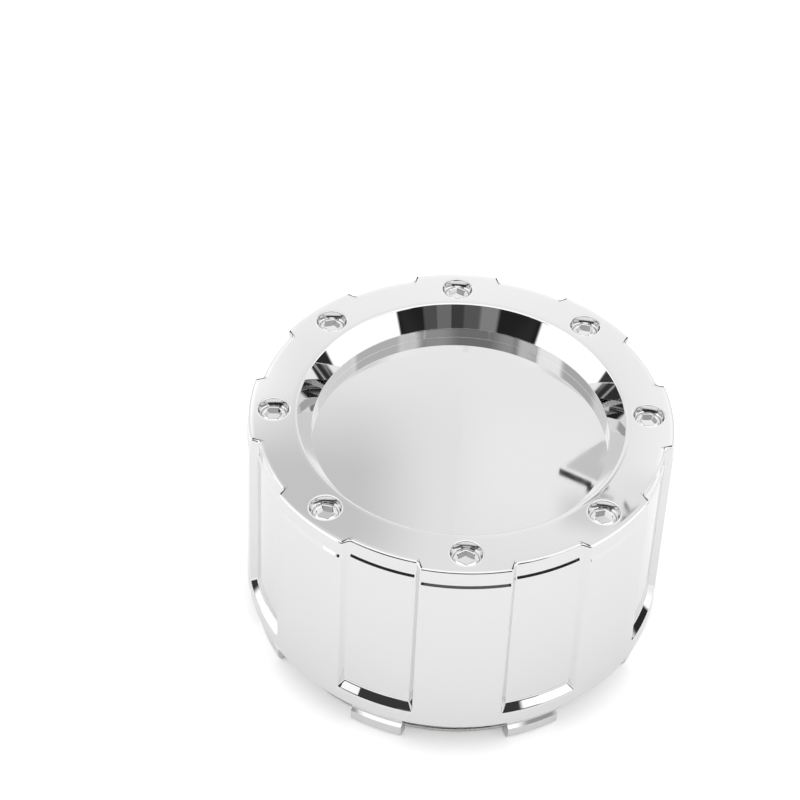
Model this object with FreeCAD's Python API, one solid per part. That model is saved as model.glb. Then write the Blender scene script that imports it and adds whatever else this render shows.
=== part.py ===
import FreeCAD, Part
import math
import os

from FreeCAD import Vector

# Chrome plated centre cap for an eight stud wheel, moulded in one piece, and its retaining ring.
# Millimetres. The axis is Z, the tips of the snap tabs stand on Z = 0 and the face looks up.

# Main sizes
FACE_DIAMETER = 128.0
BODY_HEIGHT = 68.3
TAB_HEIGHT = 11.8
SIDE_DRAFT = 1.25
WALL = 3.4
FACE_WALL = 3.0

# Lip round the face
LIP_HEIGHT = 5.3
LIP_STEP = 0.4
LIP_ROUND = 0.7

# Dish in the face
FACE_BAND = 14.5
BEVEL_WIDTH = 4.3
BEVEL_DEPTH = 6.9
DISH_DEPTH = 10.55
DISH_MOUTH_ROUND = 0.8
DISH_ROUND = 0.5
DISH_CORNER = 0.2
POCKET_INSET = 7.2
POCKET_DEPTH = 3.65

# Eight lands with a screw head each, and eight recesses between them
SECTORS = 8
RECESS_DEPTH = 2.2
RECESS_WIDTH = 20.3
RECESS_FLARE = 40.0
RECESS_ROUND = 0.9
LAND_ROUND = 0.8

# Screw heads, moulded in one with the face
SCREW_INSET = 7.5
COUNTERBORE_DIAMETER = 9.2
COUNTERBORE_DEPTH = 2.8
HEAD_CLEARANCE = 0.7
HEAD_HEIGHT = 1.6
HEAD_EDGE = 0.5
SOCKET_FLATS = 4.7
SOCKET_DEPTH = 2.4

# Inside of the cup
RIB_DIAMETER = 3.6
RIB_STAND = 2.9
BLOCK_ARC = 20.0
BLOCK_STAND = 3.5
PAD_DIAMETER = 12.6
PAD_THICKNESS = 8.0

# Rim round the open end
RIM_BAND = 5.2
RIM_ROUND = 0.5
SEAT_WIDTH = 2.3
COLLAR_HEIGHT = 2.0

# Snap tabs
TAB_WIDTH = 16.6
TAB_INSET = 1.2
TAB_THICKNESS = 2.7
TAB_ROUND = 1.2
TAB_ROOT = 6.0
HOOK_DEPTH = 1.0
HOOK_HEIGHT = 5.9
HOOK_SHOULDER = 0.7
HOOK_LEAD = 1.6

# Retaining ring of spring wire
WIRE_DIAMETER = 2.3
RING_SINK = 0.7
RING_HEIGHT = 3.0
RING_CLEARANCE = 0.1
RING_GAP = 15.0
WIRE_END_ROUND = 0.3

ORIGIN = Vector(0, 0, 0)
AXIS = Vector(0, 0, 1)
PITCH = 360.0 / SECTORS
FIRST_SCREW = -90.0
FIRST_RECESS = FIRST_SCREW + PITCH / 2
SLOPE = math.tan(math.radians(SIDE_DRAFT))
FACE_RADIUS = FACE_DIAMETER / 2
RIM_Z = TAB_HEIGHT
FACE_Z = RIM_Z + BODY_HEIGHT
STEP_TOP = FACE_Z - LIP_HEIGHT
STEP_FOOT = STEP_TOP - LIP_STEP
LEDGE_Z = RIM_Z + RIM_BAND + RECESS_DEPTH
UNDER_FACE = FACE_Z - FACE_WALL
UNDER_DISH = FACE_Z - DISH_DEPTH - FACE_WALL - POCKET_DEPTH
COLLAR_Z = RIM_Z - COLLAR_HEIGHT
MOUTH_RADIUS = FACE_RADIUS - FACE_BAND
DISH_RADIUS = MOUTH_RADIUS - BEVEL_WIDTH
SCREW_RADIUS = FACE_RADIUS - SCREW_INSET
COLLAR_RADIUS = FACE_RADIUS + BODY_HEIGHT * SLOPE + LIP_STEP - SEAT_WIDTH
NECK_RADIUS = COLLAR_RADIUS - TAB_INSET
TAB_INNER_RADIUS = NECK_RADIUS - TAB_THICKNESS
RING_RADIUS = TAB_INNER_RADIUS + RING_SINK - WIRE_DIAMETER / 2
OVER = 5.0


def lip_radius(z):
    """Radius of the lip at height z."""
    return FACE_RADIUS + (FACE_Z - z) * SLOPE


def side_radius(z):
    """Radius of a land below the lip at height z."""
    return lip_radius(z) + LIP_STEP


def wall_radius(z):
    """Radius of the inside of the wall behind a recess at height z."""
    return side_radius(z) - RECESS_DEPTH - WALL


def rounded_outline(corners):
    """Closed wire in the XZ plane through corners given as radius, height and rounding."""
    count = len(corners)
    points = [Vector(r, 0, z) for r, z, _ in corners]
    starts = []
    ends = []
    arcs = []
    for i, (_, _, rounding) in enumerate(corners):
        here = points[i]
        if rounding == 0:
            starts.append(here)
            ends.append(here)
            arcs.append(None)
            continue
        back = (points[i - 1] - here).normalize()
        ahead = (points[(i + 1) % count] - here).normalize()
        half = back.getAngle(ahead) / 2
        reach = rounding / math.tan(half)
        centre = here + (back + ahead).normalize() * (rounding / math.sin(half))
        middle = centre + (here - centre).normalize() * rounding
        starts.append(here + back * reach)
        ends.append(here + ahead * reach)
        arcs.append(Part.Arc(starts[i], middle, ends[i]).toShape())
    edges = []
    for i in range(count):
        if arcs[i] is not None:
            edges.append(arcs[i])
        edges.append(Part.LineSegment(ends[i], starts[(i + 1) % count]).toShape())
    return Part.Wire(edges)


def turned(corners):
    """Solid of revolution about the axis."""
    return Part.Face(rounded_outline(corners)).revolve(ORIGIN, AXIS, 360)


def prism(points, low, high):
    """Upright prism over a plan outline."""
    base = [Vector(x, y, low) for x, y in points]
    face = Part.Face(Part.makePolygon(base + [base[0]]))
    return face.extrude(Vector(0, 0, high - low))


def wedge(arc, low, high):
    """Upright sector about +X with an opening angle in degrees."""
    reach = FACE_DIAMETER
    half = reach * math.tan(math.radians(arc / 2))
    return prism([(0, 0), (reach, -half), (reach, half)], low, high)


def round_the_cap(shape, first):
    """One copy of a shape in each sector."""
    copies = []
    for k in range(SECTORS):
        copy = shape.copy()
        copy.rotate(ORIGIN, AXIS, first + PITCH * k)
        copies.append(copy)
    return copies


def polar(point):
    """Radius, angle and height of a point."""
    return math.hypot(point.x, point.y), math.degrees(math.atan2(point.y, point.x)), point.z


def edges_where(shape, test):
    """Edges whose two ends, as radius, angle and height, pass a test."""
    found = []
    for edge in shape.Edges:
        ends = [polar(v.Point) for v in edge.Vertexes]
        if len(ends) == 2 and test(ends[0], ends[1]):
            found.append(edge)
    return found


def outer_body():
    """The cap with its lip, dish, rim and collar, still solid inside."""
    return turned([
        (0, FACE_Z - DISH_DEPTH, 0),
        (DISH_RADIUS, FACE_Z - DISH_DEPTH, DISH_CORNER),
        (DISH_RADIUS, FACE_Z - BEVEL_DEPTH, DISH_ROUND),
        (MOUTH_RADIUS, FACE_Z, DISH_MOUTH_ROUND),
        (lip_radius(FACE_Z), FACE_Z, 0),
        (lip_radius(STEP_TOP), STEP_TOP, 0),
        (side_radius(STEP_FOOT), STEP_FOOT, 0),
        (side_radius(RIM_Z), RIM_Z, RIM_ROUND),
        (COLLAR_RADIUS, RIM_Z, 0),
        (COLLAR_RADIUS, COLLAR_Z, 0),
        (0, COLLAR_Z, 0),
    ])


def recess_plan(z):
    """Plan of a recess at height z: its cheeks flare outwards, and it widens with the draft of the side."""
    floor = lip_radius(FACE_Z) - RECESS_DEPTH
    near = floor - OVER
    beyond = floor + RECESS_DEPTH + 2 * OVER
    start = math.sqrt(floor ** 2 - (RECESS_WIDTH / 2) ** 2)
    spread = math.tan(math.radians(RECESS_FLARE))
    near_half = RECESS_WIDTH / 2 - (start - near) * spread
    far_half = RECESS_WIDTH / 2 + (beyond - start) * spread
    scale = lip_radius(z) / lip_radius(FACE_Z)
    plan = [(near, -near_half), (beyond, -far_half), (beyond, far_half), (near, near_half)]
    corners = [Vector(x * scale, y * scale, z) for x, y in plan]
    return Part.makePolygon(corners + [corners[0]])


def recess_tool():
    """What one recess takes out of the side, down to a sloping ledge at its foot."""
    beyond = side_radius(RIM_Z) + OVER
    ring = turned([
        (lip_radius(FACE_Z) - RECESS_DEPTH, FACE_Z + OVER, 0),
        (lip_radius(FACE_Z) - RECESS_DEPTH, FACE_Z, 0),
        (lip_radius(STEP_TOP) - RECESS_DEPTH, STEP_TOP, 0),
        (side_radius(STEP_FOOT) - RECESS_DEPTH, STEP_FOOT, 0),
        (side_radius(LEDGE_Z) - RECESS_DEPTH, LEDGE_Z, 0),
        (beyond, LEDGE_Z - (beyond - side_radius(LEDGE_Z) + RECESS_DEPTH), 0),
        (beyond, FACE_Z + OVER, 0),
    ])
    sector = Part.makeLoft([recess_plan(0), recess_plan(FACE_Z + OVER)], True, True)
    tool = ring.common(sector)
    return tool.makeFillet(RECESS_ROUND, edges_where(tool, is_inner_corner))


def is_inner_corner(a, b):
    """Whether an edge of the recess tool is where the floor, the cheeks and the ledge meet."""
    off_centre = abs(a[1]) > 5 and abs(b[1]) > 5
    at_floor = min(a[0], b[0]) < side_radius(LEDGE_Z) - RECESS_DEPTH + 0.1
    standing = abs(a[2] - b[2]) > LIP_STEP / 2
    at_ledge = abs(a[2] - LEDGE_Z) < 0.01 and abs(b[2] - LEDGE_Z) < 0.01
    return (off_centre and at_floor and standing) or at_ledge


def is_land_edge(a, b):
    """Whether an edge of the body is the border of a land."""
    for radius, angle, z in (a, b):
        land = lip_radius(z) if z > STEP_TOP - 0.01 else side_radius(z)
        from_screw = abs((angle - FIRST_SCREW + PITCH / 2) % PITCH - PITCH / 2)
        if abs(radius - land) > 0.05 or from_screw < 2 or abs(from_screw - PITCH / 2) < 2:
            return False
    return abs(a[2] - b[2]) > LIP_STEP / 2


def is_face_edge(a, b):
    """Whether an edge of the body is the outer border of the face."""
    on_face = abs(a[2] - FACE_Z) < 0.01 and abs(b[2] - FACE_Z) < 0.01
    return on_face and min(a[0], b[0]) > lip_radius(FACE_Z) - RECESS_DEPTH - 0.1


def cut_recesses(body):
    """Body with its eight recesses and the rounded borders of its lands and face."""
    body = body.cut(round_the_cap(recess_tool(), FIRST_RECESS))
    body = body.makeFillet(LAND_ROUND, edges_where(body, is_land_edge))
    return body.makeFillet(LIP_ROUND, edges_where(body, is_face_edge))


def hollow():
    """The room inside the cup, with a pocket behind each land."""
    slant = BEVEL_WIDTH / BEVEL_DEPTH
    offset = FACE_WALL * math.hypot(1, slant)
    channel = DISH_RADIUS + offset + (BEVEL_DEPTH - FACE_WALL) * slant
    shoulder = FACE_Z - BEVEL_DEPTH - (offset - FACE_WALL) / slant
    low = COLLAR_Z - OVER
    room = turned([
        (0, low, 0),
        (wall_radius(low), low, 0),
        (wall_radius(UNDER_FACE), UNDER_FACE, 0),
        (channel, UNDER_FACE, 0),
        (DISH_RADIUS + FACE_WALL, shoulder, 0),
        (DISH_RADIUS + FACE_WALL, UNDER_DISH, 0),
        (DISH_RADIUS - POCKET_INSET, UNDER_DISH, 0),
        (DISH_RADIUS - POCKET_INSET, UNDER_DISH + POCKET_DEPTH, 0),
        (0, UNDER_DISH + POCKET_DEPTH, 0),
    ])
    behind_land = turned([
        (wall_radius(low) - OVER, low, 0),
        (wall_radius(low) + RECESS_DEPTH, low, 0),
        (wall_radius(UNDER_DISH) + RECESS_DEPTH, UNDER_DISH, 0),
        (wall_radius(low) - OVER, UNDER_DISH, 0),
    ])
    pocket = behind_land.common(wedge(BLOCK_ARC, low, UNDER_DISH))
    return room.fuse(round_the_cap(pocket, FIRST_SCREW))


def blocks():
    """Blocks behind the lands and pads behind the screw heads."""
    top = UNDER_FACE + FACE_WALL / 2
    inner = wall_radius(UNDER_DISH) + RECESS_DEPTH - BLOCK_STAND
    ring = turned([
        (inner, UNDER_DISH, 0),
        (wall_radius(UNDER_DISH) + RECESS_DEPTH + WALL / 2, UNDER_DISH, 0),
        (wall_radius(top) + RECESS_DEPTH + WALL / 2, top, 0),
        (inner, top, 0),
    ])
    block = ring.common(wedge(BLOCK_ARC, UNDER_DISH, top))
    foot = FACE_Z - PAD_THICKNESS
    pad = Part.makeCylinder(PAD_DIAMETER / 2, top - foot, Vector(SCREW_RADIUS, 0, foot))
    return round_the_cap(block.fuse(pad), FIRST_SCREW)


def ribs():
    """Half round ribs down the wall, one at each side of every land."""
    lean = Vector(-SLOPE, 0, 1)
    at_rim = wall_radius(COLLAR_Z) + RECESS_DEPTH - RIB_STAND + RIB_DIAMETER / 2
    length = (UNDER_FACE + FACE_WALL / 2 - COLLAR_Z) * lean.Length
    rib = Part.makeCylinder(RIB_DIAMETER / 2, length, Vector(at_rim, 0, COLLAR_Z), lean)
    half = PITCH / 2 - math.degrees(math.asin((RECESS_WIDTH / 2 + WALL / 2) / at_rim))
    return round_the_cap(rib, FIRST_SCREW - half) + round_the_cap(rib, FIRST_SCREW + half)


def tabs():
    """Snap tabs under the recesses, hooked outside and grooved inside for the ring."""
    root = RIM_Z + TAB_ROOT
    ring = turned([
        (TAB_INNER_RADIUS, 0, 0),
        (NECK_RADIUS, 0, 0),
        (NECK_RADIUS + HOOK_DEPTH, HOOK_LEAD, 0),
        (NECK_RADIUS + HOOK_DEPTH, HOOK_HEIGHT - HOOK_SHOULDER, 0),
        (NECK_RADIUS, HOOK_HEIGHT, 0),
        (NECK_RADIUS, RIM_Z, 0),
        (wall_radius(root) + WALL / 2, root, 0),
        (wall_radius(root), root, 0),
        (TAB_INNER_RADIUS, root - TAB_ROOT / 4, 0),
    ])
    half = TAB_WIDTH / 2
    slab = prism([(0, -half), (FACE_DIAMETER, -half), (FACE_DIAMETER, half), (0, half)], 0, root)
    tab = ring.common(slab)
    corners = edges_where(tab, lambda a, b: a[2] < 0.01 and b[2] < 0.01 and abs(a[0] - b[0]) > 1)
    tab = tab.makeFillet(TAB_ROUND, corners)
    seat = Part.makeTorus(RING_RADIUS, WIRE_DIAMETER / 2 + RING_CLEARANCE, Vector(0, 0, RING_HEIGHT), AXIS)
    return round_the_cap(tab.cut(seat), FIRST_RECESS)


def add_screw_heads(body):
    """Body with a counterbore in every land and a domed socket head in it."""
    floor = FACE_Z - COUNTERBORE_DEPTH
    top = floor + HEAD_HEIGHT
    radius = COUNTERBORE_DIAMETER / 2 - HEAD_CLEARANCE
    rise = HEAD_HEIGHT - HEAD_EDGE
    dome = (radius ** 2 + rise ** 2) / (2 * rise)
    sunk = floor - FACE_WALL / 2
    bore = Part.makeCylinder(COUNTERBORE_DIAMETER / 2, COUNTERBORE_DEPTH + OVER, Vector(SCREW_RADIUS, 0, floor))
    stud = Part.makeCylinder(radius, top - sunk, Vector(SCREW_RADIUS, 0, sunk))
    head = stud.common(Part.makeSphere(dome, Vector(SCREW_RADIUS, 0, top - dome)))
    across = SOCKET_FLATS / math.sqrt(3)
    corners = [math.radians(60 * k) for k in range(6)]
    hexagon = [(SCREW_RADIUS + across * math.cos(a), across * math.sin(a)) for a in corners]
    socket = prism(hexagon, top - SOCKET_DEPTH, top + OVER)
    body = body.cut(round_the_cap(bore, FIRST_SCREW))
    body = body.fuse(round_the_cap(head, FIRST_SCREW))
    return body.cut(round_the_cap(socket, FIRST_SCREW))


def cap_shell():
    """The moulded cap."""
    body = cut_recesses(outer_body())
    body = body.cut(hollow())
    body = body.fuse(blocks() + ribs() + tabs())
    body = add_screw_heads(body)
    return body.removeSplitter()


def retaining_ring():
    """Wire ring sprung into the grooves of the tabs, open behind one land."""
    gap = math.degrees(RING_GAP / RING_RADIUS)
    start = Vector(RING_RADIUS, 0, RING_HEIGHT)
    section = Part.Face(Part.Wire(Part.makeCircle(WIRE_DIAMETER / 2, start, Vector(0, 1, 0))))
    ring = section.revolve(ORIGIN, AXIS, 360 - gap)
    ends = [e for e in ring.Edges if abs(e.Length - math.pi * WIRE_DIAMETER) < 0.01]
    ring = ring.makeFillet(WIRE_END_ROUND, ends)
    ring.rotate(ORIGIN, AXIS, FIRST_SCREW + 180 + gap / 2)
    return ring


if __name__ == "__main__":
    os.makedirs("parts", exist_ok=True)
    nodes = {"cap_shell": cap_shell(), "retaining_ring": retaining_ring()}
    for name, shape in nodes.items():
        shape.exportStep("parts/" + name + ".step")
        box = shape.BoundBox
        print(name, "valid", shape.isValid(), "solids", len(shape.Solids), "volume", round(shape.Volume, 1))
        print("  box", round(box.XLength, 2), round(box.YLength, 2), round(box.ZMin, 3), round(box.ZMax, 3))
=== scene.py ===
import math

import bmesh
import bpy
from mathutils import Matrix, Vector


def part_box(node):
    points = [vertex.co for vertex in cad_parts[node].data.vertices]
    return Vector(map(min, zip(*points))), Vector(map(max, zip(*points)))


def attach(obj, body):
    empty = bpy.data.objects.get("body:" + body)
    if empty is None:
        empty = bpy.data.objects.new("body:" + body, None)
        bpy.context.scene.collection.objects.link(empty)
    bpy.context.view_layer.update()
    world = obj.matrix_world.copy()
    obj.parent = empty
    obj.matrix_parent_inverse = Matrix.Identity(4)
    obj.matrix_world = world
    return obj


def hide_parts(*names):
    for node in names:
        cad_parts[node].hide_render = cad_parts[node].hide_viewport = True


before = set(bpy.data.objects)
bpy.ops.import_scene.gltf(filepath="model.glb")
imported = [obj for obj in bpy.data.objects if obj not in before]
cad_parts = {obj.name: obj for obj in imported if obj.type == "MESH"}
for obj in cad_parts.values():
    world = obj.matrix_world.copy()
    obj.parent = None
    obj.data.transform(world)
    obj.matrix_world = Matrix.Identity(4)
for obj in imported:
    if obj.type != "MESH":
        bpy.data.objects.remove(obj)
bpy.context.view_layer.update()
_, shell_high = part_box("cap_shell")

# Sizes in millimetres, up from the tips of the snap tabs
MM = 0.001
SECTORS = 8
PITCH = 360.0 / SECTORS
FIRST_SCREW = -90.0
FACE_Z = shell_high.z / MM
RIM_Z = 11.8
FACE_RADIUS = 64.0
RIM_RADIUS = shell_high.x / MM
LIP_HEIGHT = 5.3
LIP_STEP = 0.4
SLOPE = (RIM_RADIUS - LIP_STEP - FACE_RADIUS) / (FACE_Z - RIM_Z)
STEP_ABOVE = 0.1
STEP_BELOW = 0.3
STEP_TOP = FACE_Z - LIP_HEIGHT + STEP_ABOVE
STEP_FOOT = FACE_Z - LIP_HEIGHT - LIP_STEP - STEP_BELOW
COLLAR_RADIUS = 63.6
COLLAR_HEIGHT = 2.0
COLLAR_Z = RIM_Z - COLLAR_HEIGHT
WALL = 3.4
FACE_WALL = 3.0

RECESS_DEPTH = 2.2
RECESS_LENGTH = 60.9
RECESS_FLOOR_HALF = 9.45
RECESS_MOUTH_HALF = 10.81
LEDGE_Z = FACE_Z - RECESS_LENGTH
LEDGE_FOOT = LEDGE_Z - RECESS_DEPTH
RECESS_ROUND = 0.9
RECESS_CORNER = 50

MOUTH_RADIUS = 49.5
DISH_RADIUS = 45.2
BEVEL_DEPTH = 6.9
DISH_DEPTH = 10.55
POCKET_RADIUS = 38.0
POCKET_DEPTH = 3.65
RIM_ROUND = 0.5
OUTLINE_ROUND = 0.7
OUTLINE_INSIDE = 61.4
MOUTH_ROUND = 0.8
MOUTH_CORNER = 57
BEVEL_FOOT_ROUND = 0.5
BEVEL_FOOT_CORNER = 33
DISH_FOOT_ROUND = 0.05

SCREW_CIRCLE = 56.5
BORE_RADIUS = 4.6
BORE_DEPTH = 2.8
BORE_ROUND = 0.3
ROUND_MIDDLE = 0.29
SEAT_ROUND = 0.2
HEAD_RADIUS = 3.9
HEAD_TOP = 1.2
HEAD_EDGE = 0.5
HEAD_ROUND = 0.2
HEAD_MIDDLE = 3.0
DOME_RADIUS = 7.46
SOCKET_FLATS = 4.7
SOCKET_DEPTH = 2.4
SOCKET_RIM = 0.2
SOCKET_RIM_DROP = 0.18
SOCKET_CONE = 0.5
SCREW_STEPS = 48
SCREW_ROOM_INSIDE = 5.3
SCREW_ROOM_OUTSIDE = 5.7
SCREW_ROOM_HALF = 5.85
SCREW_REACH = 10

RIB_RADIUS = 1.8
RIB_STAND = 2.9
RIB_HALF = 11.05
POCKET_HALF = 9.36
BLOCK_ARC = 20.0
BLOCK_STAND = 3.5
BLOCK_ROUND = 0.3
BLOCK_BURY = 0.1
SOCKET_ROOM_HALF = 3.6
SOCKET_FLOOR = 0.7
PAD_RADIUS = 6.3
PAD_THICKNESS = 8.0
PAD_ROUND = 0.4
UNDER_FACE = FACE_Z - FACE_WALL
UNDER_DISH = FACE_Z - DISH_DEPTH - FACE_WALL - POCKET_DEPTH

TAB_WIDTH = 16.6
TAB_NECK = 62.4
TAB_INNER = 59.7
HOOK_DEPTH = 1.0
HOOK_HEIGHT = 5.9
HOOK_SHOULDER = 0.7
HOOK_LEAD = 1.6
TAB_ROOT = 6.0
TAB_ROUND = 1.2
TAB_EDGE_ROUND = 0.2
TAB_CORNER_FROM = 8
WIRE_RADIUS = 1.15
RING_RADIUS = 59.25
RING_Z = 3.0
RING_CLEARANCE = 0.1
RING_GAP = 15.0
RING_END_ROUND = 0.3

SHARP_ANGLE = math.radians(25)
FLAT_ANGLE = math.radians(4)
NEAR = 0.02
SAME_POINT = 0.002


def lip_radius(z):
    return FACE_RADIUS + (FACE_Z - z) * SLOPE


def side_radius(z):
    return lip_radius(z) + LIP_STEP


def wall_radius(z):
    """Radius of the inside of the wall behind a recess."""
    return side_radius(z) - RECESS_DEPTH - WALL


def polar(co):
    """Radius and angle in degrees of a point about the cap's axis."""
    return math.hypot(co.x, co.y), math.degrees(math.atan2(co.y, co.x))


def from_recess(angle):
    """Degrees from the middle of the nearest recess."""
    return (angle - FIRST_SCREW) % PITCH - PITCH / 2


def set_radius(vert, radius):
    """Moves a vertex straight out from the axis or in to it."""
    old, _ = polar(vert.co)
    vert.co.x *= radius / old
    vert.co.y *= radius / old


def about_z(degrees):
    return Matrix.Rotation(math.radians(degrees), 3, "Z")


def chain(bm, points):
    """Vertices and edges through points given as radius and height."""
    verts = [bm.verts.new((r, 0, z)) for r, z in points]
    edges = [bm.edges.new(pair) for pair in zip(verts, verts[1:])]
    return verts + edges


def turn(bm, section, degrees, steps):
    """Spins a section on by an angle and gives back its far end."""
    spun = bmesh.ops.spin(bm, geom=section, axis=(0, 0, 1), cent=(0, 0, 0),
                          angle=math.radians(degrees), steps=steps, use_merge=False, use_duplicate=False)
    return spun["geom_last"]


def spin_whole(bm, profile, centre, steps):
    """Moves a section to an axis of its own and spins it all the way round."""
    verts = [item for item in profile if isinstance(item, bmesh.types.BMVert)]
    bmesh.ops.translate(bm, verts=verts, vec=centre)
    bmesh.ops.spin(bm, geom=profile, axis=(0, 0, 1), cent=centre, angle=math.radians(360), steps=steps,
                   use_merge=True, use_duplicate=False)


def bevel(bm, edges, radius, corner, segments=4, clamp=True):
    """Rounds edges whose faces turn by a corner in degrees, to a radius."""
    offset = radius * math.tan(math.radians(corner / 2))
    bmesh.ops.bevel(bm, geom=edges, offset=offset, offset_type="OFFSET", affect="EDGES",
                    segments=segments, profile=0.5, clamp_overlap=clamp, material=-1)


def edges_where(bm, test):
    """Edges whose two ends, as radius, degrees from the recess and height, pass a test."""
    found = []
    for edge in bm.edges:
        ends = []
        for vert in edge.verts:
            radius, angle = polar(vert.co)
            ends.append((radius, abs(from_recess(angle)), vert.co.z))
        if edge.calc_face_angle(0) > FLAT_ANGLE and test(ends[0], ends[1]):
            found.append(edge)
    return found


def both(ends, index, value, slack=NEAR):
    return abs(ends[0][index] - value) < slack and abs(ends[1][index] - value) < slack


def outer_section():
    """Half section of the outside through a land, from the collar's foot to the middle of the dish."""
    floor = FACE_Z - DISH_DEPTH
    return [
        (COLLAR_RADIUS, COLLAR_Z),
        (COLLAR_RADIUS, RIM_Z),
        (side_radius(RIM_Z), RIM_Z),
        (side_radius(LEDGE_FOOT), LEDGE_FOOT),
        (side_radius(LEDGE_Z), LEDGE_Z),
        (side_radius(STEP_FOOT), STEP_FOOT),
        (lip_radius(STEP_TOP), STEP_TOP),
        (FACE_RADIUS, FACE_Z),
        (SCREW_CIRCLE + SCREW_ROOM_OUTSIDE, FACE_Z),
        (SCREW_CIRCLE - SCREW_ROOM_INSIDE, FACE_Z),
        (MOUTH_RADIUS, FACE_Z),
        (DISH_RADIUS, FACE_Z - BEVEL_DEPTH),
        (DISH_RADIUS, floor),
        (DISH_RADIUS - 2, floor),
        (DISH_RADIUS / 2, floor),
        (0, floor),
    ]


def inner_section():
    """Half section of the inside, from the middle under the dish out and down to the collar's foot."""
    slant = (MOUTH_RADIUS - DISH_RADIUS) / BEVEL_DEPTH
    offset = FACE_WALL * math.hypot(1, slant)
    shoulder = FACE_Z - BEVEL_DEPTH - (offset - FACE_WALL) / slant
    return [
        (0, UNDER_DISH + POCKET_DEPTH),
        (POCKET_RADIUS, UNDER_DISH + POCKET_DEPTH),
        (POCKET_RADIUS, UNDER_DISH),
        (DISH_RADIUS + FACE_WALL, UNDER_DISH),
        (DISH_RADIUS + FACE_WALL, shoulder),
        (DISH_RADIUS + offset + (BEVEL_DEPTH - FACE_WALL) * slant, UNDER_FACE),
        (wall_radius(UNDER_FACE), UNDER_FACE),
        (wall_radius(COLLAR_Z), COLLAR_Z),
    ]


def skin(bm):
    """The cap's wall and face, inside and outside, with its lands, recesses and rounded edges."""
    section = chain(bm, inner_section() + outer_section())
    bmesh.ops.rotate(bm, verts=bm.verts, matrix=about_z(FIRST_SCREW - PITCH / 2))
    floor_half = (RECESS_FLOOR_HALF, 8)
    cheek = (RECESS_MOUTH_HALF - RECESS_FLOOR_HALF, 1)
    land = (PITCH - 2 * RECESS_MOUTH_HALF, 20)
    for arc, steps in (floor_half, cheek, land, cheek, floor_half) * SECTORS:
        section = turn(bm, section, arc, steps)
    bmesh.ops.remove_doubles(bm, verts=bm.verts, dist=SAME_POINT)
    bmesh.ops.dissolve_degenerate(bm, dist=SAME_POINT / 2, edges=bm.edges)
    for vert in bm.verts:
        radius, angle = polar(vert.co)
        in_recess = abs(from_recess(angle)) < RECESS_FLOOR_HALF + NEAR
        behind_land = PITCH / 2 - abs(from_recess(angle)) < POCKET_HALF
        if in_recess and vert.co.z > LEDGE_Z - NEAR and radius > SCREW_CIRCLE + BORE_RADIUS:
            set_radius(vert, radius - RECESS_DEPTH)
        if behind_land and abs(radius - wall_radius(vert.co.z)) < NEAR:
            set_radius(vert, radius + RECESS_DEPTH)
    split_mitres(bm)
    corners = edges_where(bm, recess_corner)
    bevel(bm, corners, RECESS_ROUND, RECESS_CORNER)
    outline = edges_where(bm, lambda *e: both(e, 2, FACE_Z) and min(e[0][0], e[1][0]) > OUTLINE_INSIDE)
    bevel(bm, outline, OUTLINE_ROUND, 90, 6, False)
    rings = [
        (side_radius(RIM_Z), RIM_Z, RIM_ROUND, 90),
        (MOUTH_RADIUS, FACE_Z, MOUTH_ROUND, MOUTH_CORNER),
        (DISH_RADIUS, FACE_Z - BEVEL_DEPTH, BEVEL_FOOT_ROUND, BEVEL_FOOT_CORNER),
        (DISH_RADIUS, FACE_Z - DISH_DEPTH, DISH_FOOT_ROUND, 90),
    ]
    for radius, height, rounding, corner in rings:
        ring = edges_where(bm, lambda *e: both(e, 0, radius) and both(e, 2, height))
        bevel(bm, ring, rounding, corner)


def split_mitres(bm):
    """Folds the quad at each foot of a cheek along the line where cheek and ledge meet."""
    for face in list(bm.faces):
        inner = None
        outer = None
        for vert in face.verts:
            radius, angle = polar(vert.co)
            off = abs(from_recess(angle))
            if abs(off - RECESS_FLOOR_HALF) < NEAR and abs(vert.co.z - LEDGE_Z) < NEAR:
                inner = vert
            if abs(off - RECESS_MOUTH_HALF) < NEAR and abs(vert.co.z - LEDGE_FOOT) < NEAR:
                outer = vert
        if inner and outer:
            bmesh.ops.connect_verts(bm, verts=[inner, outer])


def recess_corner(a, b):
    """Whether an edge borders a recess's floor, cheeks or ledge."""
    ends = (a, b)
    if min(a[2], b[2]) < LEDGE_FOOT - NEAR or min(a[0], b[0]) < FACE_RADIUS - RECESS_DEPTH - 0.1:
        return False
    upright = abs(a[2] - b[2]) > NEAR
    cheek = upright and (both(ends, 1, RECESS_FLOOR_HALF) or both(ends, 1, RECESS_MOUTH_HALF))
    if cheek:
        return not (both(ends, 1, RECESS_FLOOR_HALF) and min(a[2], b[2]) < LEDGE_Z - NEAR)
    low, high = sorted(ends, key=lambda end: end[2])
    mitre = abs(low[1] - RECESS_MOUTH_HALF) < NEAR and abs(high[1] - RECESS_FLOOR_HALF) < NEAR
    if mitre and abs(high[2] - LEDGE_Z) < NEAR:
        return True
    if both(ends, 2, LEDGE_Z):
        return both(ends, 0, side_radius(LEDGE_Z) - RECESS_DEPTH)
    return both(ends, 2, LEDGE_FOOT) and max(a[1], b[1]) < RECESS_MOUTH_HALF + NEAR


def open_edges(bm, near, reach):
    """Open edges with both ends within reach of a point."""
    edges = []
    for edge in bm.edges:
        if edge.is_boundary and all((vert.co - near).length < reach for vert in edge.verts):
            edges.append(edge)
    return edges


def dome(radius):
    """Height of a screw head's top at a radius from its own axis."""
    return FACE_Z - HEAD_TOP - DOME_RADIUS + math.sqrt(DOME_RADIUS ** 2 - radius ** 2)


def on_hexagon(angle):
    """How far a hexagon of one across its flats lies from its middle, one corner pointing along angle 0."""
    return 0.5 / math.cos(math.radians(angle % 60 - 30))


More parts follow.
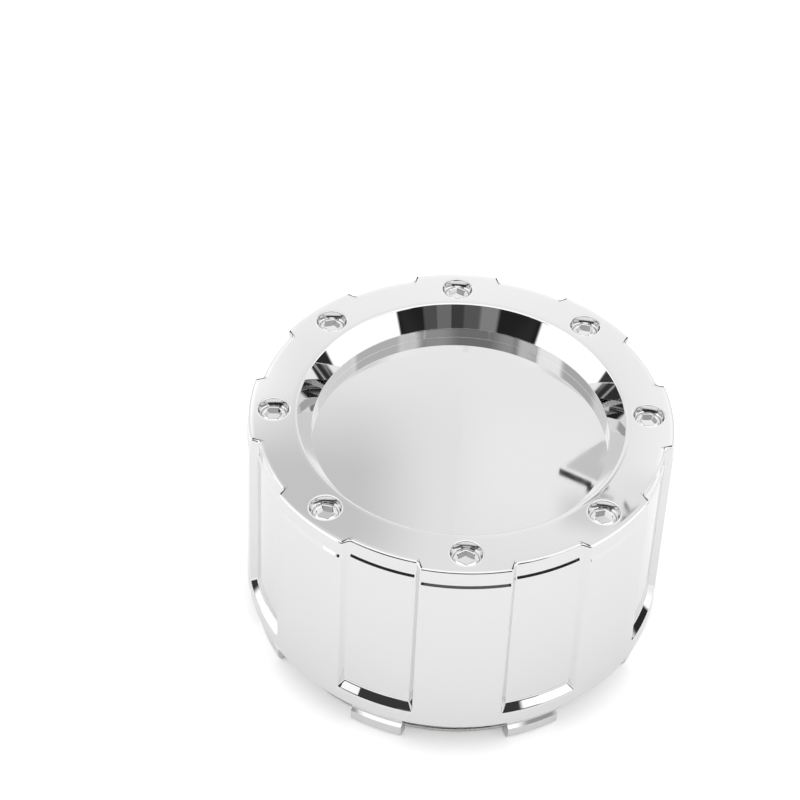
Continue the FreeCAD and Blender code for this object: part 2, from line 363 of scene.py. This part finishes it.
def screw(bm, angle):
    """Counterbore with a domed socket head in it, set into the face at an angle round the cap."""
    centre = Vector((SCREW_CIRCLE, 0, 0))
    socket = 0.5 * SOCKET_FLATS
    seat = FACE_Z - BORE_DEPTH
    foot = FACE_Z - HEAD_TOP - SOCKET_DEPTH
    section = [
        (BORE_RADIUS + 2 * BORE_ROUND, FACE_Z),
        (BORE_RADIUS + BORE_ROUND, FACE_Z),
        (BORE_RADIUS + ROUND_MIDDLE * BORE_ROUND, FACE_Z - ROUND_MIDDLE * BORE_ROUND),
        (BORE_RADIUS, FACE_Z - BORE_ROUND),
        (BORE_RADIUS, seat + SEAT_ROUND),
        (BORE_RADIUS - SEAT_ROUND, seat),
        (HEAD_RADIUS, seat),
        (HEAD_RADIUS, seat + HEAD_EDGE - HEAD_ROUND / 2),
        (HEAD_RADIUS - HEAD_ROUND, dome(HEAD_RADIUS - HEAD_ROUND)),
        (HEAD_RADIUS - 3 * HEAD_ROUND, dome(HEAD_RADIUS - 3 * HEAD_ROUND)),
        (HEAD_MIDDLE, dome(HEAD_MIDDLE)),
        (socket + SOCKET_RIM, dome(socket)),
        (socket, dome(socket)),
        (socket, foot),
        (0, foot - SOCKET_CONE),
    ]
    old = set(bm.verts)
    spin_whole(bm, chain(bm, section), centre, SCREW_STEPS)
    fresh = [vert for vert in bm.verts if vert not in old]
    for vert in fresh:
        radius, turned = polar(vert.co - centre)
        if NEAR < radius < socket + SOCKET_RIM + NEAR:
            wide = 2 * on_hexagon(turned)
            vert.co.x = SCREW_CIRCLE + (vert.co.x - SCREW_CIRCLE) * wide
            vert.co.y *= wide
            if vert.co.z > foot + NEAR:
                at_wall = radius < socket + SOCKET_RIM / 2
                vert.co.z = dome(radius * wide) - (SOCKET_RIM_DROP if at_wall else 0)
    bmesh.ops.rotate(bm, verts=fresh, matrix=about_z(angle))
    bmesh.ops.remove_doubles(bm, verts=fresh, dist=SAME_POINT)
    where = about_z(angle) @ centre + Vector((0, 0, FACE_Z))
    border = open_edges(bm, where, SCREW_REACH)
    bmesh.ops.triangle_fill(bm, use_beauty=True, use_dissolve=False, edges=border)


def screws(bm):
    """Opens the face round each screw and sets the eight screws in."""
    inner = SCREW_CIRCLE - SCREW_ROOM_INSIDE - NEAR
    outer = SCREW_CIRCLE + SCREW_ROOM_OUTSIDE + NEAR
    spare = []
    for face in bm.faces:
        inside = True
        for vert in face.verts:
            radius, angle = polar(vert.co)
            off = PITCH / 2 - abs(from_recess(angle))
            level = abs(vert.co.z - FACE_Z) < NEAR
            inside = inside and level and inner < radius < outer and off < SCREW_ROOM_HALF + NEAR
        if inside:
            spare.append(face)
    bmesh.ops.delete(bm, geom=spare, context="FACES")
    for k in range(SECTORS):
        screw(bm, FIRST_SCREW + PITCH * k)


def closed_sector(bm, points, arc, steps):
    """Ring sector with flat ends, about +X."""
    section = chain(bm, points)
    verts = [item for item in section if isinstance(item, bmesh.types.BMVert)]
    section.append(bm.edges.new((verts[-1], verts[0])))
    bmesh.ops.rotate(bm, verts=verts, matrix=about_z(-arc / 2))
    turn(bm, section, arc, steps)


def close_ends(bm):
    bmesh.ops.holes_fill(bm, edges=[edge for edge in bm.edges if edge.is_boundary], sides=0)


def add_round(bm, maker, first):
    """Makes one shape about +X and adds a copy of it in each sector."""
    single = bmesh.new()
    maker(single)
    bmesh.ops.rotate(single, verts=single.verts, matrix=about_z(first))
    mesh = bpy.data.meshes.new("Part of the cap")
    for _ in range(SECTORS):
        single.to_mesh(mesh)
        bm.from_mesh(mesh)
        bmesh.ops.rotate(single, verts=single.verts, matrix=about_z(PITCH))
    single.free()
    bpy.data.meshes.remove(mesh)


def block(bm):
    """Block behind a land and pad behind its screw head, both clear of the socket."""
    inner = wall_radius(UNDER_DISH) + RECESS_DEPTH - BLOCK_STAND
    outer = wall_radius(UNDER_FACE) + RECESS_DEPTH + WALL / 2
    top = UNDER_FACE + BLOCK_BURY
    under_socket = FACE_Z - HEAD_TOP - SOCKET_DEPTH - SOCKET_FLOOR
    closed_sector(bm, [(inner, UNDER_DISH), (outer, UNDER_DISH), (outer, top), (inner, top)], BLOCK_ARC, 16)
    close_ends(bm)
    for vert in bm.verts:
        if abs(vert.co.y) < SOCKET_ROOM_HALF and vert.co.z > top - NEAR:
            vert.co.z = under_socket
    bevel(bm, edges_where(bm, lambda *e: both(e, 2, UNDER_DISH)), BLOCK_ROUND, 90, 2)
    foot = FACE_Z - PAD_THICKNESS
    hole = SOCKET_FLATS * 0.75
    pad = chain(bm, [
        (0, foot),
        (PAD_RADIUS - PAD_ROUND, foot),
        (PAD_RADIUS, foot + PAD_ROUND),
        (PAD_RADIUS, top),
        (hole, top),
        (hole, under_socket),
        (0, under_socket),
    ])
    spin_whole(bm, pad, Vector((SCREW_CIRCLE, 0, 0)), 40)
    bmesh.ops.remove_doubles(bm, verts=bm.verts, dist=SAME_POINT)


def rib(bm):
    """Half round rib down the wall, leaning with it."""
    at_rim = wall_radius(COLLAR_Z) + RECESS_DEPTH - RIB_STAND + RIB_RADIUS
    top = UNDER_FACE + FACE_WALL / 2
    height = top - COLLAR_Z
    lean = Matrix.Rotation(-math.atan(SLOPE), 4, "Y")
    place = Matrix.Translation((at_rim - SLOPE * height / 2, 0, COLLAR_Z + height / 2)) @ lean
    bmesh.ops.create_cone(bm, cap_ends=True, segments=28, radius1=RIB_RADIUS, radius2=RIB_RADIUS,
                          depth=height, matrix=place)


def tab(bm):
    """Snap tab, hooked outside and grooved inside for the ring."""
    root = RIM_Z + TAB_ROOT
    groove = WIRE_RADIUS + RING_CLEARANCE
    closed_sector(bm, [
        (TAB_INNER, 0),
        (TAB_NECK, 0),
        (TAB_NECK + HOOK_DEPTH, HOOK_LEAD),
        (TAB_NECK + HOOK_DEPTH, HOOK_HEIGHT - HOOK_SHOULDER),
        (TAB_NECK, HOOK_HEIGHT),
        (TAB_NECK, RIM_Z),
        (wall_radius(root) + WALL / 2, root),
        (wall_radius(root), root),
        (TAB_INNER, root - TAB_ROOT / 4),
        (TAB_INNER, RING_Z + groove * 0.93),
        (RING_RADIUS + groove * 0.8, RING_Z + groove * 0.6),
        (RING_RADIUS + groove, RING_Z),
        (RING_RADIUS + groove * 0.8, RING_Z - groove * 0.6),
        (TAB_INNER, RING_Z - groove * 0.93),
    ], BLOCK_ARC, 24)
    for end in (-1, 1):
        bmesh.ops.bisect_plane(bm, geom=bm.verts[:] + bm.edges[:] + bm.faces[:], dist=0.0001,
                               plane_co=(0, end * TAB_WIDTH / 2, 0), plane_no=(0, end, 0), clear_outer=True)
    close_ends(bm)
    corners = []
    for edge in bm.edges:
        at_tip = all(vert.co.z < NEAR and abs(vert.co.y) > TAB_CORNER_FROM for vert in edge.verts)
        if at_tip and edge.calc_face_angle(0) > 1 and edge.calc_length() > 1:
            corners.append(edge)
    bevel(bm, corners, TAB_ROUND, 90)
    bmesh.ops.recalc_face_normals(bm, faces=bm.faces)
    edges = [edge for edge in bm.edges if edge.calc_face_angle(0) > SHARP_ANGLE]
    bevel(bm, edges, TAB_EDGE_ROUND, 90, 2)


def cap_body():
    bm = bmesh.new()
    skin(bm)
    screws(bm)
    add_round(bm, block, FIRST_SCREW)
    add_round(bm, rib, FIRST_SCREW - RIB_HALF)
    add_round(bm, rib, FIRST_SCREW + RIB_HALF)
    add_round(bm, tab, FIRST_SCREW + PITCH / 2)
    bmesh.ops.recalc_face_normals(bm, faces=bm.faces)
    return bm


def ring_wire():
    """Wire ring with a gap, its cut ends eased."""
    bm = bmesh.new()
    gap = math.degrees(RING_GAP / RING_RADIUS)
    place = Matrix.Translation((RING_RADIUS, 0, RING_Z)) @ Matrix.Rotation(math.radians(90), 4, "X")
    circle = bmesh.ops.create_circle(bm, cap_ends=False, segments=24, radius=WIRE_RADIUS, matrix=place)
    bmesh.ops.rotate(bm, verts=circle["verts"], matrix=about_z(FIRST_SCREW + 180 + gap / 2))
    turn(bm, bm.verts[:] + bm.edges[:], 360 - gap, 180)
    close_ends(bm)
    ends = [edge for edge in bm.edges if any(len(face.verts) > 4 for face in edge.link_faces)]
    bevel(bm, ends, RING_END_ROUND, 90, 3)
    bmesh.ops.recalc_face_normals(bm, faces=bm.faces)
    return bm


def add_piece(bm, name, material, node):
    """Finishes a mesh, in metres, as a piece that rides on the root and stands for a CAD node."""
    bmesh.ops.scale(bm, vec=(MM, MM, MM), verts=bm.verts)
    for face in bm.faces:
        face.smooth = True
    for edge in bm.edges:
        if len(edge.link_faces) == 2 and edge.calc_face_angle(0) > SHARP_ANGLE:
            edge.smooth = False
    mesh = bpy.data.meshes.new(name)
    bm.to_mesh(mesh)
    bm.free()
    piece = bpy.data.objects.new(name, mesh)
    bpy.context.scene.collection.objects.link(piece)
    mesh.materials.append(material)
    weights = piece.modifiers.new("Even normals", "WEIGHTED_NORMAL")
    weights.mode = "FACE_AREA"
    weights.keep_sharp = True
    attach(piece, "root")
    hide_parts(node)


def new_material(name):
    """A material, its nodes, its links and its shader."""
    material = bpy.data.materials.new(name)
    material.use_nodes = True
    return material, material.node_tree, material.node_tree.nodes["Principled BSDF"]


def noise(tree, scale, detail, stretch=(1, 1, 1)):
    """Noise over the object's own coordinates, in metres."""
    place = tree.nodes.new("ShaderNodeTexCoord")
    mapping = tree.nodes.new("ShaderNodeMapping")
    mapping.inputs["Scale"].default_value = stretch
    texture = tree.nodes.new("ShaderNodeTexNoise")
    texture.inputs["Scale"].default_value = scale
    texture.inputs["Detail"].default_value = detail
    tree.links.new(place.outputs["Object"], mapping.inputs["Vector"])
    tree.links.new(mapping.outputs["Vector"], texture.inputs["Vector"])
    return texture.outputs["Fac"]


def spread(tree, value, low, high, start, end, eased=False):
    """Maps a value between low and high to a value between start and end."""
    node = tree.nodes.new("ShaderNodeMapRange")
    node.interpolation_type = "SMOOTHSTEP" if eased else "LINEAR"
    for name, number in (("From Min", low), ("From Max", high), ("To Min", start), ("To Max", end)):
        node.inputs[name].default_value = number
    tree.links.new(value, node.inputs["Value"])
    return node.outputs["Result"]


def chrome():
    """Bright plating over moulded plastic: a mirror with the faint waves of the moulding under it."""
    material, tree, shader = new_material("Chrome plating")
    shader.inputs["Base Color"].default_value = (0.73, 0.73, 0.73, 1)
    shader.inputs["Metallic"].default_value = 1
    tree.links.new(spread(tree, noise(tree, 90, 3), 0.3, 0.7, 0.01, 0.035), shader.inputs["Roughness"])
    waves = tree.nodes.new("ShaderNodeBump")
    waves.inputs["Strength"].default_value = 0.5
    waves.inputs["Distance"].default_value = 0.00004
    tree.links.new(noise(tree, 45, 0), waves.inputs["Height"])
    tree.links.new(waves.outputs["Normal"], shader.inputs["Normal"])
    return material


def spring_steel():
    """Drawn wire with fine lines along it and a few duller places."""
    material, tree, shader = new_material("Drawn spring steel")
    shader.inputs["Metallic"].default_value = 1
    colours = tree.nodes.new("ShaderNodeValToRGB")
    colours.color_ramp.elements[0].color = (0.42, 0.41, 0.4, 1)
    colours.color_ramp.elements[1].color = (0.62, 0.61, 0.6, 1)
    tree.links.new(noise(tree, 120, 4), colours.inputs["Fac"])
    tree.links.new(colours.outputs["Color"], shader.inputs["Base Color"])
    tree.links.new(spread(tree, noise(tree, 400, 3), 0.3, 0.7, 0.18, 0.38), shader.inputs["Roughness"])
    lines = tree.nodes.new("ShaderNodeBump")
    lines.inputs["Strength"].default_value = 0.3
    lines.inputs["Distance"].default_value = 0.00003
    tree.links.new(noise(tree, 300, 2, (1, 1, 12)), lines.inputs["Height"])
    tree.links.new(lines.outputs["Normal"], shader.inputs["Normal"])
    return material


add_piece(cap_body(), "cap_body", chrome(), "cap_shell")
add_piece(ring_wire(), "ring_wire", spring_steel(), "retaining_ring")

# Studio, with the floor's half width in metres
VIEW_TURN = -4.116
FLOOR_HALF = 6
PAPER = 0.9
PAPER_GLOW = 0.18
PAPER_GLOW_SEEN = 0.35
SKY = 1.02

# Light and dark parts of the studio that the chrome mirrors: from and to in degrees round from the
# camera, from and to in degrees up, brightness, and softness of the borders across and up in degrees
STUDIO = (
    (-181, 181, 60, 91, 1.38, 9, 9),
    (-200, -165, 26, 41, 1.32, 9, 9),
    (165, 200, 26, 41, 1.32, 9, 9),
    (-118, 120, -30, 62, 1.5, 8, 8),
    (-48.5, 47, 14, 28, 0.02, 2, 2),
    (-53, 63, -3, 10, 0.03, 3, 2),
    (-45, 44, 5, 20, 0.03, 3, 2),
    (-12, 29, 2.5, 8, 0.13, 6, 1.5),
    (-57, 40, 27, 47.5, 0.05, 3, 2),
    (-51, -42, 30.5, 34.7, 1.3, 0.6, 0.6),
    (-64, -24, 46, 51, 0.4, 3, 2),
    (24, 76, 45.5, 51, 0.4, 3, 2),
    (21, 29.5, 14, 30, 0.1, 2, 2),
    (11, 21, 14, 30, 0.19, 1.5, 2),
    (3, 11, 14, 30, 0.06, 1.5, 2),
    (-8, 3, 14, 30, 0.12, 2, 2),
    (-20, -8, 14, 30, 0.28, 3, 2),
    (-172, -153, 41, 45.5, 1.4, 4, 1),
    (-153, -122, 41, 45.5, 1.05, 8, 1),
    (-122, -80, 41, 45.5, 0.7, 12, 1),
    (-80, -58, 41, 45.5, 1.45, 5, 1),
    (-58, -40, 41.8, 42.9, 0.86, 6, 0.3),
    (-40, 36, 41.6, 42.8, 0.5, 12, 0.3),
    (-24, 12, 41.6, 42.8, 0.28, 16, 0.3),
    (36, 52, 41.8, 42.9, 0.97, 9, 0.3),
    (52, 96, 41, 45.5, 0.78, 9, 1),
    (96, 150, 41, 45.5, 1.12, 9, 1),
    (150, 172, 41, 45.5, 1.3, 6, 1),
    (99, 114, -12, 12, 0.03, 2, 2),
    (-114, -100, -12, 8, 0.05, 2, 2),
    (174, 179.5, 43.6, 47.6, 1.11, 3, 3),
    (-177.5, -170, 44.8, 49, 0.74, 4, 3),
    (173.6, 175.6, 46.3, 47.2, 0.85, 1.2, 0.8),
)

# Gear mirrored in the dish as slanting bands: from and to in degrees round, the band's foot and top at
# each of the two in degrees up, and brightness
GEAR = (
    (174.2, 175.55, 44.6, 45.8, 45.52, 45.56, 0.72),
    (174.5, 175.8, 45.85, 46.03, 45.62, 45.8, 0.02),
    (174.5, 174.68, 45.86, 46.06, 45.98, 46.22, 0.02),
    (173.8, 174.06, 45.93, 46.04, 46.03, 46.19, 0.1),
    (173.54, 174.06, 46.28, 46.35, 46.21, 46.28, 0.1),
    (174.06, 174.42, 46.21, 46.28, 46.45, 46.52, 0.15),
    (172.73, 173.05, 46.53, 46.68, 46.28, 46.42, 0.03),
    (172.31, 172.68, 46.36, 46.45, 46.52, 46.72, 0.04),
    (172.73, 173.05, 46.7, 46.8, 46.68, 47, 0.12),
    (173, 173.2, 46.95, 47.03, 47.07, 47.16, 0.15),
)
GEAR_EDGE = 0.02
GEAR_SOFT_ACROSS = 0.06

# Small soft lights mirrored in the back of the sockets: degrees round and degrees up. Below them are
# the brightness and the half size and softness across and up that they share
SOCKET_LIGHTS = (
    (-52.1, 40.85),
    (-17.2, 41.55),
    (15.6, 43.85),
    (44.3, 46.75),
    (68.5, 48.4),
    (-50.9, 48.35),
    (-27.2, 47.15),
    (0.7, 44.35),
    (32.9, 41.85),
)
SOCKET_LIGHT = 0.68
SOCKET_LIGHT_ACROSS = (1, 0.5)
SOCKET_LIGHT_UP = (0.2, 0.1)


def maths(tree, operation, first, second=None):
    """Result of a sum on one value, or on a value and a value or number."""
    node = tree.nodes.new("ShaderNodeMath")
    node.operation = operation
    tree.links.new(first, node.inputs[0])
    if isinstance(second, (int, float)):
        node.inputs[1].default_value = second
    elif second is not None:
        tree.links.new(second, node.inputs[1])
    return node.outputs[0]


def between(tree, value, low, high, soft):
    """1 where a value lies between low and high, easing to 0 over a soft border."""
    rise = spread(tree, value, low - soft / 2, low + soft / 2, 0, 1, True)
    fall = spread(tree, value, high - soft / 2, high + soft / 2, 1, 0, True)
    return maths(tree, "MULTIPLY", rise, fall)


def layer(tree, under, over, where):
    """Lays a brightness over another where a mask says so."""
    mix = tree.nodes.new("ShaderNodeMix")
    for socket, value in zip(mix.inputs[:1] + mix.inputs[2:4], (where, under, over)):
        if isinstance(value, (int, float)):
            socket.default_value = value
        else:
            tree.links.new(value, socket)
    return mix.outputs[0]


def patch(tree, level, brightness, across, upward):
    """Lays a brightness over the studio where two masks meet."""
    return layer(tree, level, brightness, maths(tree, "MULTIPLY", across, upward))


def studio_world():
    """White studio with a dark room behind the camera, seen only in the chrome."""
    world = bpy.data.worlds.new("Studio")
    world.use_nodes = True
    tree = world.node_tree
    place = tree.nodes.new("ShaderNodeTexCoord")
    turned = tree.nodes.new("ShaderNodeMapping")
    turned.inputs["Rotation"].default_value = (0, 0, math.radians(-VIEW_TURN))
    axes = tree.nodes.new("ShaderNodeSeparateXYZ")
    tree.links.new(place.outputs["Generated"], turned.inputs["Vector"])
    tree.links.new(turned.outputs["Vector"], axes.inputs[0])
    x, y, z = axes.outputs
    azimuth = maths(tree, "DEGREES", maths(tree, "ARCTAN2", x, maths(tree, "MULTIPLY", y, -1.0)))
    elevation = maths(tree, "DEGREES", maths(tree, "ARCSINE", z))
    level = SKY
    for left, right, low, high, brightness, soft_across, soft_up in STUDIO:
        across = between(tree, azimuth, left, right, soft_across)
        upward = between(tree, elevation, low, high, soft_up)
        level = patch(tree, level, brightness, across, upward)
    for left, right, foot_left, top_left, foot_right, top_right, brightness in GEAR:
        foot = spread(tree, azimuth, left, right, foot_left, foot_right)
        height = spread(tree, azimuth, left, right, top_left - foot_left, top_right - foot_right)
        above = maths(tree, "SUBTRACT", elevation, foot)
        under = maths(tree, "SUBTRACT", height, above)
        edges = [spread(tree, gap, -GEAR_EDGE, GEAR_EDGE, 0, 1) for gap in (above, under)]
        upward = maths(tree, "MULTIPLY", edges[0], edges[1])
        across = between(tree, azimuth, left, right, GEAR_SOFT_ACROSS)
        level = patch(tree, level, brightness, across, upward)
    half_across, soft_across = SOCKET_LIGHT_ACROSS
    half_up, soft_up = SOCKET_LIGHT_UP
    for round_at, up_at in SOCKET_LIGHTS:
        across = between(tree, azimuth, round_at - half_across, round_at + half_across, soft_across)
        upward = between(tree, elevation, up_at - half_up, up_at + half_up, soft_up)
        level = patch(tree, level, SOCKET_LIGHT, across, upward)
    path = tree.nodes.new("ShaderNodeLightPath")
    level = layer(tree, level, 1.0, path.outputs["Is Camera Ray"])
    tree.nodes["Background"].inputs["Color"].default_value = (1, 1, 1, 1)
    tree.links.new(level, tree.nodes["Background"].inputs["Strength"])
    return world


def paper():
    """Pale paper, a little brighter to the camera so that it keeps only the nearer shadow."""
    material, tree, shader = new_material("White paper")
    shader.inputs["Base Color"].default_value = (PAPER, PAPER, PAPER, 1)
    shader.inputs["Roughness"].default_value = 1
    shader.inputs["Specular IOR Level"].default_value = 0
    shader.inputs["Emission Color"].default_value = (1, 1, 1, 1)
    path = tree.nodes.new("ShaderNodeLightPath")
    glow = spread(tree, path.outputs["Is Camera Ray"], 0, 1, PAPER_GLOW, PAPER_GLOW_SEEN)
    tree.links.new(glow, shader.inputs["Emission Strength"])
    return material


bm = bmesh.new()
bmesh.ops.create_grid(bm, x_segments=1, y_segments=1, size=FLOOR_HALF)
floor_mesh = bpy.data.meshes.new("Floor")
bm.to_mesh(floor_mesh)
bm.free()
floor_mesh.materials.append(paper())
floor = bpy.data.objects.new("Floor", floor_mesh)
bpy.context.scene.collection.objects.link(floor)
bpy.context.scene.world = studio_world()

# Camera, fitted to the photograph's view: distances in metres, lens and sensor in millimetres
VIEW_DISTANCE = 0.5995
VIEW_ELEVATION = math.radians(44.28)
VIEW_ROLL = 2.18
AIM = Vector((-0.01882, 0.003465, 0))
SENSOR = 36
PICTURE_WIDTH = 800
FOCAL_PIXELS = 1993.8
FOCAL = FOCAL_PIXELS / PICTURE_WIDTH * SENSOR

eye = Vector((0, -math.cos(VIEW_ELEVATION), math.sin(VIEW_ELEVATION))) * VIEW_DISTANCE
forward = (AIM - eye).normalized()
right = forward.cross(Vector((0, 0, 1))).normalized()
up = right.cross(forward)
roll = math.radians(VIEW_ROLL)
side = right * math.cos(roll) + up * math.sin(roll)
top = up * math.cos(roll) - right * math.sin(roll)
pose = Matrix((side, top, -forward)).transposed()
pose = about_z(VIEW_TURN) @ pose
place = about_z(VIEW_TURN) @ eye + Vector((0, 0, shell_high.z))
camera_data = bpy.data.cameras.new("Camera")
camera_data.lens = FOCAL
camera_data.sensor_width = SENSOR
camera_data.clip_start = 0.01
camera = bpy.data.objects.new("Camera", camera_data)
camera.matrix_world = Matrix.Translation(place) @ pose.to_4x4()
bpy.context.scene.collection.objects.link(camera)
bpy.context.scene.camera = camera
bpy.context.scene.view_settings.view_transform = "Standard"
